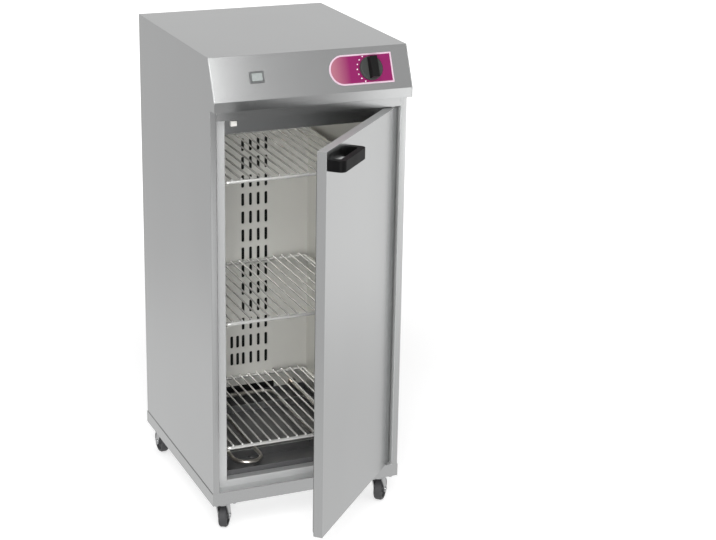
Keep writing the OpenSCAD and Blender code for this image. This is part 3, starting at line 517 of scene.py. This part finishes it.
def even_normals(mesh):
    """Broad faces keep their own normals, so that a bend doesn't darken the flat beside it."""
    piece = bpy.data.objects.new(mesh.name, mesh)
    bpy.context.scene.collection.objects.link(piece)
    weighted = piece.modifiers.new("normals", "WEIGHTED_NORMAL")
    weighted.keep_sharp = True
    return baked(piece)


def dress(finish, *nodes):
    """Gives CAD nodes a finish."""
    for node in nodes:
        mesh = NODES[node].data
        mesh.materials.clear()
        mesh.materials.append(FINISH[finish])


def repaint(piece, finish, chosen):
    """Gives the chosen faces of a piece a second finish."""
    piece.data.materials.append(FINISH[finish])
    for face in piece.data.polygons:
        face.material_index = int(chosen(face))


def soft_piece(name, node, finish, bend, edge, segments=3):
    """A softened copy that stands for its CAD node."""
    return add_piece(name, softened(node, bend, edge, segments), BODY_OF[node], finish, SLOT_OF[node], node)


# Node tree helpers

class Tree:
    """A Geometry Nodes tree with named inputs."""

    def __init__(self, name, **inputs):
        self.tree = bpy.data.node_groups.new(name, "GeometryNodeTree")
        self.sockets = {}
        for label, kind in inputs.items():
            socket = self.tree.interface.new_socket(label, in_out="INPUT", socket_type=kind)
            self.sockets[label] = socket.identifier
        self.tree.interface.new_socket("Geometry", in_out="OUTPUT", socket_type="NodeSocketGeometry")
        self.start = self.tree.nodes.new("NodeGroupInput")
        self.end = self.tree.nodes.new("NodeGroupOutput")

    def add(self, kind, **links):
        """Adds a node; a link's value is a socket, or a constant for the node's own socket."""
        node = self.tree.nodes.new(kind)
        for label, value in links.items():
            socket = node.inputs[label.replace("_", " ")]
            if isinstance(value, bpy.types.NodeSocket):
                self.tree.links.new(value, socket)
            else:
                socket.default_value = value
        return node

    def math(self, kind, a, b):
        """One Math node's result."""
        return operation(self.tree, kind, a, b)

    def vector(self, x=0.0, y=0.0, z=0.0):
        """A vector from three values."""
        return self.add("ShaderNodeCombineXYZ", X=x, Y=y, Z=z).outputs[0]

    def join(self, *sockets):
        """Joins geometry."""
        node = self.tree.nodes.new("GeometryNodeJoinGeometry")
        for socket in sockets:
            self.tree.links.new(socket, node.inputs[0])
        return node.outputs[0]

    def close(self, geometry, finish):
        """Realizes, sets the material and ends the tree."""
        real = self.add("GeometryNodeRealizeInstances", Geometry=geometry)
        done = self.add("GeometryNodeSetMaterial", Geometry=real.outputs[0], Material=FINISH[finish])
        self.tree.links.new(done.outputs[0], self.end.inputs[0])

    def mesh(self, name, **values):
        """Runs the tree once and returns a plain mesh."""
        carrier = bpy.data.objects.new(name, bpy.data.meshes.new(name))
        bpy.context.scene.collection.objects.link(carrier)
        modifier = carrier.modifiers.new("tree", "NODES")
        modifier.node_group = self.tree
        for label, value in values.items():
            modifier[self.sockets[label]] = value
        result = baked(carrier)
        finish_mesh(result)
        return result


def wire_shelf_tree():
    """Shelf: wires front to back, welded on a rim with rounded corners."""
    t = Tree("wire_shelf", Width="NodeSocketFloat", Depth="NodeSocketFloat", Wire="NodeSocketFloat",
             Rim="NodeSocketFloat", Step="NodeSocketFloat", Corner="NodeSocketFloat")
    get = t.start.outputs
    count = t.math("FLOOR", t.math("DIVIDE", t.math("SUBTRACT", get["Width"], get["Rim"]), get["Step"]), 0.0)
    reach = t.math("ADD", t.math("DIVIDE", get["Depth"], 2.0), WIRE_OVERHANG)
    first = t.math("MULTIPLY", t.math("SUBTRACT", count, 1.0), t.math("MULTIPLY", get["Step"], -0.5))
    wire_z = t.math("MULTIPLY", get["Wire"], -0.5)
    rim_z = t.math("SUBTRACT", t.math("SUBTRACT", WELD_DEPTH, get["Wire"]), t.math("DIVIDE", get["Rim"], 2.0))
    line = t.add("GeometryNodeCurvePrimitiveLine", Start=t.vector(y=t.math("MULTIPLY", reach, -1.0)),
                 End=t.vector(y=reach))
    points = t.add("GeometryNodeMeshLine", Count=count, Start_Location=t.vector(first, 0.0, wire_z),
                   Offset=t.vector(get["Step"]))
    copies = t.add("GeometryNodeInstanceOnPoints", Points=points.outputs[0], Instance=line.outputs[0])
    wires = t.add("GeometryNodeRealizeInstances", Geometry=copies.outputs[0])
    thin = t.add("GeometryNodeCurvePrimitiveCircle", Resolution=10, Radius=t.math("DIVIDE", get["Wire"], 2.0))
    thick = t.add("GeometryNodeCurvePrimitiveCircle", Resolution=14, Radius=t.math("DIVIDE", get["Rim"], 2.0))
    wire_mesh = t.add("GeometryNodeCurveToMesh", Curve=wires.outputs[0], Profile_Curve=thin.outputs[0],
                      Fill_Caps=True)
    loop = t.add("GeometryNodeCurvePrimitiveQuadrilateral", Width=get["Width"], Height=get["Depth"])
    rounded = t.tree.nodes.new("GeometryNodeFilletCurve")
    modes = [s for s in rounded.inputs if s.name == "Mode"]
    if modes:
        modes[0].default_value = "Poly"
    else:
        rounded.mode = "POLY"
    [s for s in rounded.inputs if s.name == "Count"][0].default_value = 6
    t.tree.links.new(loop.outputs[0], rounded.inputs["Curve"])
    t.tree.links.new(get["Corner"], rounded.inputs["Radius"])
    bar_mesh = t.add("GeometryNodeCurveToMesh", Curve=rounded.outputs[0], Profile_Curve=thick.outputs[0],
                     Fill_Caps=True)
    low = t.add("GeometryNodeTransform", Geometry=bar_mesh.outputs[0], Translation=t.vector(z=rim_z))
    t.close(t.join(wire_mesh.outputs[0], low.outputs[0]), "wire")
    return t


def screw_tree():
    """Pan head screws with a cross recess, at the points of a grid."""
    t = Tree("panel_screws", Head="NodeSocketFloat", Width="NodeSocketFloat", Height="NodeSocketFloat",
             Rows="NodeSocketInt")
    get = t.start.outputs
    radius = t.math("DIVIDE", get["Head"], 2.0)
    dome = t.add("GeometryNodeMeshUVSphere", Segments=20, Rings=10, Radius=radius)
    flat = t.add("GeometryNodeTransform", Geometry=dome.outputs[0], Scale=(1.0, 1.0, 0.5))
    arm = t.math("MULTIPLY", get["Head"], 0.55)
    slit = t.math("MULTIPLY", get["Head"], 0.13)
    raised = t.vector(z=t.math("MULTIPLY", get["Head"], 0.42))
    cut = t.tree.nodes.new("GeometryNodeMeshBoolean")
    cut.operation = "DIFFERENCE"
    t.tree.links.new(flat.outputs[0], cut.inputs["Mesh 1"])
    for size in (t.vector(arm, slit, arm), t.vector(slit, arm, t.math("MULTIPLY", arm, 0.9))):
        block = t.add("GeometryNodeMeshCube", Size=size)
        moved = t.add("GeometryNodeTransform", Geometry=block.outputs[0], Translation=raised)
        t.tree.links.new(moved.outputs[0], cut.inputs["Mesh 2"])
    grid = t.add("GeometryNodeMeshGrid", Size_X=get["Width"], Size_Y=get["Height"], Vertices_X=2,
                 Vertices_Y=get["Rows"])
    copies = t.add("GeometryNodeInstanceOnPoints", Points=grid.outputs[0], Instance=cut.outputs[0])
    t.close(copies.outputs[0], "zinc")
    return t


def dial_tree():
    """Printed dial dots on an arc round the knob."""
    t = Tree("dial_dots", Radius="NodeSocketFloat", Dot="NodeSocketFloat", Count="NodeSocketInt")
    get = t.start.outputs
    arc = t.add("GeometryNodeCurveArc", Radius=get["Radius"], Start_Angle=math.radians(120),
                Sweep_Angle=math.radians(120))
    even = t.add("GeometryNodeResampleCurve", Curve=arc.outputs[0], Count=get["Count"])
    disc = t.add("GeometryNodeMeshCylinder", Vertices=16, Radius=get["Dot"], Depth=DOT_DEPTH)
    points = t.add("GeometryNodeCurveToPoints", Curve=even.outputs[0], Count=get["Count"])
    copies = t.add("GeometryNodeInstanceOnPoints", Points=points.outputs["Points"], Instance=disc.outputs[0])
    t.close(copies.outputs[0], "mark")
    return t


def slope_frame(lift):
    """Matrix that lays a piece on the control slope at the knob, Z outward."""
    joint = JOINT_OF["knob_turn"]
    out = -Vector(joint["axis"]).normalized()
    across = Vector((1.0, 0.0, 0.0))
    up = out.cross(across)
    at = Vector(joint["pos_m"]) + out * lift
    turn = Matrix((across, up, out)).transposed().to_4x4()
    return Matrix.Translation(at) @ turn


# Operators

class CUPBOARD_OT_casing(bpy.types.Operator):
    """Folded casing, hood and door frame."""

    bl_idname = "cupboard.casing"
    bl_label = "Casing"

    def execute(self, context):
        s = context.scene.cupboard_sizes
        # painted light: the side panels' inward flanges, the frame posts and the bottom rail take the
        # lightened door-surround finishes
        for side, inward in (("left", 1.0), ("right", -1.0)):
            node = "side_panel_" + side
            panel = soft_piece("dressed_" + node, node, "casing_upright", s.bend_radius, s.edge_radius)
            repaint(panel, "lit_jamb", lambda face, sign=inward: face.normal.x * sign > 0.7)
        for node, finish in (("base_pan", "casing_across"), ("back_panel", "casing_upright"),
                             ("top_cover", "hood"), ("frame_rail_top", "casing_across"),
                             ("frame_rail_bottom", "lit_sill"), ("frame_post_left", "lit_jamb"),
                             ("frame_post_right", "lit_jamb")):
            soft_piece("dressed_" + node, node, finish, s.bend_radius, s.edge_radius)
        return {"FINISHED"}


class CUPBOARD_OT_cavity(bpy.types.Operator):
    """Liner, slotted air panel, runners, tray and heating rod."""

    bl_idname = "cupboard.cavity"
    bl_label = "Cavity"

    def execute(self, context):
        s = context.scene.cupboard_sizes
        dress("liner", "liner_left", "liner_right", "air_panel")
        # painted shade: the back liner is near black behind the air panel
        dress("duct", "liner_back")
        dress("liner_flat", "liner_top", "liner_floor")
        soft_piece("dressed_runners", "shelf_runners", "liner_flat", RUNNER_BEND, s.edge_radius)
        soft_piece("dressed_tray", "drip_tray", "tray", TRAY_BEND, s.edge_radius)
        soft_piece("dressed_brackets", "element_brackets", "zinc", BRACKET_BEND, s.edge_radius)
        dress("rod", "heating_element")
        return {"FINISHED"}


class CUPBOARD_OT_shelves(bpy.types.Operator):
    """Three welded wire shelves."""

    bl_idname = "cupboard.shelves"
    bl_label = "Shelves"

    def execute(self, context):
        s = context.scene.cupboard_sizes
        tree = wire_shelf_tree()
        for node in ("shelf_bottom", "shelf_middle", "shelf_top"):
            low, high = (Vector(v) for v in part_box(node))
            inner = high - low - Vector((s.shelf_rim, s.shelf_rim, 0.0))
            mesh = tree.mesh("wires_" + node, Width=inner.x, Depth=inner.y, Wire=s.shelf_wire, Rim=s.shelf_rim,
                             Step=s.shelf_step, Corner=SHELF_CORNER)
            mesh.transform(Matrix.Translation(((low.x + high.x) / 2, (low.y + high.y) / 2, high.z)))
            add_piece("wires_" + node, mesh, BODY_OF[node], "wire", SLOT_OF[node], node)
        return {"FINISHED"}


class CUPBOARD_OT_controls(bpy.types.Operator):
    """Control plate with its print, knob, pilot lamp and gland."""

    bl_idname = "cupboard.controls"
    bl_label = "Controls"

    def execute(self, context):
        s = context.scene.cupboard_sizes
        dress("plate", "control_plate_field")
        dress("border", "control_plate_frame")
        dots = dial_tree().mesh("dial_dots", Radius=DIAL_RADIUS, Dot=DOT_RADIUS, Count=DOT_COUNT)
        dots.transform(slope_frame(DOT_LIFT))
        add_piece("dial_dots", dots, "cabinet", "mark", "plate_border")
        knob = soft_piece("dressed_knob", "control_knob", "knob", s.knob_round, s.knob_round, 4)
        flat = slope_frame(0.0).inverted()
        lift = min((flat @ v.co).z for v in knob.data.vertices) + GRIP_LIFT
        # painted shade: faces higher than GRIP_LIFT take the near black grip finish
        repaint(knob, "grip", lambda face: (flat @ face.center).z > lift)
        soft_piece("dressed_lamp_bezel", "pilot_lamp_bezel", "bezel", *BEZEL_ROUND)
        soft_piece("dressed_lamp_lens", "pilot_lamp_lens", "lens", *LENS_ROUND)
        soft_piece("dressed_gland", "cable_gland", "black", *GLAND_ROUND)
        return {"FINISHED"}


class CUPBOARD_OT_door(bpy.types.Operator):
    """Door skins, seal, handle and hinge."""

    bl_idname = "cupboard.door"
    bl_label = "Door"

    def execute(self, context):
        s = context.scene.cupboard_sizes
        door = soft_piece("dressed_door", "door_outer_skin", "casing_upright", s.door_bend, s.edge_radius)
        # painted highlight: the door's top facing faces take the lightened door-surround finish
        repaint(door, "lit_sill", lambda face: face.normal.z > 0.7)
        # painted shade: the inner skin takes the darkened copy of the casing finish
        dress("door_inside_shaded", "door_inner_skin")
        soft_piece("dressed_seal", "door_seal", "seal", *SEAL_ROUND)
        soft_piece("dressed_handle", "door_handle", "handle", s.handle_round, s.handle_round, 5)
        soft_piece("dressed_catch", "magnet_catch", "white", *CATCH_ROUND)
        dress("zinc", "hinge_pins", "handle_screws", "strike_plate")
        dress("seal", "hinge_bushes")
        return {"FINISHED"}


class CUPBOARD_OT_castors(bpy.types.Operator):
    """Castor plates, forks and wheels."""

    bl_idname = "cupboard.castors"
    bl_label = "Castors"

    def execute(self, context):
        for place in ("fl", "fr", "bl", "br"):
            soft_piece("dressed_fork_" + place, "fork_" + place, "zinc", *FORK_ROUND)
            dress("wheel", "wheel_" + place)
        dress("zinc", "castor_plates", "castor_bolts")
        return {"FINISHED"}


class CUPBOARD_OT_fasteners(bpy.types.Operator):
    """Cross head screws of the back panel."""

    bl_idname = "cupboard.fasteners"
    bl_label = "Fasteners"

    def execute(self, context):
        s = context.scene.cupboard_sizes
        low, high = (Vector(v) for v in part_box("panel_screws"))
        mesh = screw_tree().mesh("screw_heads", Head=s.screw_head, Width=high.x - low.x - s.screw_head,
                                 Height=high.z - low.z - s.screw_head, Rows=SCREW_ROWS)
        turn = Matrix.Rotation(math.radians(-90), 4, "X")
        middle = Vector(((low.x + high.x) / 2, high.y - SCREW_PROUD, (low.z + high.z) / 2))
        mesh.transform(Matrix.Translation(middle) @ turn)
        add_piece("screw_heads", mesh, "cabinet", "zinc", SLOT_OF["panel_screws"], "panel_screws")
        return {"FINISHED"}


class CUPBOARD_OT_insides(bpy.types.Operator):
    """Finishes of the pieces inside the walls and the hood."""

    bl_idname = "cupboard.insides"
    bl_label = "Insides"

    def execute(self, context):
        dress("wool", "insulation_left", "insulation_right", "insulation_back", "insulation_top",
              "door_insulation")
        dress("casing_across", "control_tray")
        dress("cream", "thermostat_body")
        dress("copper", "thermostat_bulb")
        dress("white", "terminal_block")
        dress("black", "wiring_loom")
        dress("zinc", "thermostat_spindle")
        return {"FINISHED"}


def camera_matrix(p):
    """Camera pose from the viewing angles; the middle of the cabinet's front is the target."""
    az, el, roll = p.azimuth, p.elevation, p.roll
    ahead = Vector((math.sin(az) * math.cos(el), math.cos(az) * math.cos(el), -math.sin(el)))
    side = Vector((math.cos(az), -math.sin(az), 0.0))
    top = side.cross(ahead)
    right = side * math.cos(roll) + top * math.sin(roll)
    up = top * math.cos(roll) - side * math.sin(roll)
    base_low = Vector(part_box("base_pan")[0])
    target = Vector((0.0, base_low.y, base_low.z + TARGET_HEIGHT))
    place = target - ahead * p.distance + side * p.shift_right + top * p.shift_up
    turn = Matrix((right, up, -ahead)).transposed().to_4x4()
    return Matrix.Translation(place) @ turn


class CUPBOARD_OT_stage(bpy.types.Operator):
    """Camera, floor, world and lamps."""

    bl_idname = "cupboard.stage"
    bl_label = "Stage"

    def execute(self, context):
        scene = context.scene
        p = scene.cupboard_stage
        scene.view_settings.view_transform = "Standard"
        camera = bpy.data.objects.new("camera", bpy.data.cameras.new("camera"))
        scene.collection.objects.link(camera)
        camera.data.sensor_width = SENSOR_MM
        camera.data.lens = p.focal_px * SENSOR_MM / PICTURE_PX
        camera.data.clip_end = 50.0
        camera.matrix_world = camera_matrix(p)
        scene.camera = camera
        self.floor(scene)
        self.world(scene)
        for name, power, share, size, place, target in LAMPS:
            self.lamp(scene, name, share * getattr(p, power), size, place, target)
        return {"FINISHED"}

    def floor(self, scene):
        """Pale floor that takes the shadow; mirrored in sheet it is a large card with soft edges."""
        mesh = bpy.data.meshes.new("floor")
        corners = [(x * FLOOR_REACH, y * FLOOR_REACH, 0.0) for x, y in ((-1, -1), (1, -1), (1, 1), (-1, 1))]
        mesh.from_pydata(corners, [], [(0, 1, 2, 3)])
        floor = bpy.data.objects.new("floor", mesh)
        scene.collection.objects.link(floor)
        mat, tree, shader = node_material("pale_floor")
        shader.inputs["Base Color"].default_value = (0.85, 0.85, 0.85, 1.0)
        shader.inputs["Roughness"].default_value = 0.9
        shader.inputs["Specular IOR Level"].default_value = 0.0
        shader.inputs["Emission Color"].default_value = (1.0, 1.0, 1.0, 1.0)
        path = tree.nodes.new("ShaderNodeLightPath")
        axes, place = object_axes(tree)
        reach = tree.nodes.new("ShaderNodeVectorMath")
        reach.operation = "LENGTH"
        tree.links.new(place, reach.inputs[0])
        away = reach.outputs["Value"]
        seen = operation(tree, "MULTIPLY", path.outputs["Is Camera Ray"], ramp(tree, away, *FLOOR_SEEN))
        tree.links.new(seen, shader.inputs["Emission Strength"])
        across = ramp(tree, axes["X"], *FLOOR_ACROSS)
        ahead = ramp(tree, axes["Y"], *FLOOR_AHEAD)
        tree.links.new(ramp(tree, axes["Y"], *FLOOR_BEHIND), ahead.node.inputs["To Max"])
        level = ramp(tree, away, *FLOOR_AWAY)
        tree.links.new(operation(tree, "MULTIPLY", across, ahead), level.node.inputs["To Max"])
        mirrored = tree.nodes.new("ShaderNodeEmission")
        tree.links.new(level, mirrored.inputs["Strength"])
        both = tree.nodes.new("ShaderNodeMixShader")
        sources = (path.outputs["Is Glossy Ray"], shader.outputs[0], mirrored.outputs[0])
        for source, socket in zip(sources, both.inputs):
            tree.links.new(source, socket)
        tree.links.new(both.outputs[0], tree.nodes["Material Output"].inputs["Surface"])
        mesh.materials.append(mat)

    def world(self, scene):
        """White to the camera, grey in mirrored sheet, and a plain level of light elsewhere."""
        world = bpy.data.worlds.new("studio")
        scene.world = world
        world.use_nodes = True
        tree = world.node_tree
        back = tree.nodes["Background"]
        back.inputs["Color"].default_value = (1.0, 1.0, 1.0, 1.0)
        path = tree.nodes.new("ShaderNodeLightPath")
        axes, _ = object_axes(tree, "Generated")
        front = ramp(tree, axes["Y"], *WORLD_FRONT)
        seen = operation(tree, "MAXIMUM", path.outputs["Is Camera Ray"], path.outputs["Is Transmission Ray"])
        mirrored = operation(tree, "MULTIPLY", path.outputs["Is Glossy Ray"], front)
        level = operation(tree, "MAXIMUM", operation(tree, "MAXIMUM", seen, mirrored), WORLD_LIGHT)
        tree.links.new(level, back.inputs["Strength"])

    def lamp(self, scene, name, power, size, place, target):
        """A round area lamp aimed at a target."""
        data = bpy.data.lights.new(name, "AREA")
        data.shape = "DISK"
        data.size = size
        data.energy = power
        lamp = bpy.data.objects.new(name, data)
        scene.collection.objects.link(lamp)
        aim = Vector(target) - Vector(place)
        lamp.matrix_world = Matrix.Translation(place) @ aim.to_track_quat("-Z", "Y").to_matrix().to_4x4()


class CUPBOARD_PT_panel(bpy.types.Panel):
    """Lists the pieces in the sidebar."""

    bl_idname = "CUPBOARD_PT_panel"
    bl_label = "Hot cupboard"
    bl_space_type = "VIEW_3D"
    bl_region_type = "UI"
    bl_category = "Hot cupboard"

    def draw(self, context):
        for name in STEPS:
            self.layout.operator("cupboard." + name)


STEPS = ("stage", "casing", "cavity", "shelves", "controls", "door", "castors", "fasteners", "insides")
CLASSES = (CupboardSizes, CupboardColours, CupboardStage, CUPBOARD_OT_casing, CUPBOARD_OT_cavity,
           CUPBOARD_OT_shelves, CUPBOARD_OT_controls, CUPBOARD_OT_door, CUPBOARD_OT_castors,
           CUPBOARD_OT_fasteners, CUPBOARD_OT_insides, CUPBOARD_OT_stage, CUPBOARD_PT_panel)


def register():
    """Registers the classes and hangs the settings on the scene."""
    for cls in CLASSES:
        bpy.utils.register_class(cls)
    bpy.types.Scene.cupboard_sizes = bpy.props.PointerProperty(type=CupboardSizes)
    bpy.types.Scene.cupboard_colours = bpy.props.PointerProperty(type=CupboardColours)
    bpy.types.Scene.cupboard_stage = bpy.props.PointerProperty(type=CupboardStage)


def unregister():
    """Takes the settings and the classes off again."""
    del bpy.types.Scene.cupboard_stage
    del bpy.types.Scene.cupboard_colours
    del bpy.types.Scene.cupboard_sizes
    for cls in reversed(CLASSES):
        bpy.utils.unregister_class(cls)


def main():
    register()
    make_finishes(bpy.context.scene.cupboard_colours)
    for name in STEPS:
        getattr(bpy.ops.cupboard, name)()


if __name__ == "__main__":
    main()
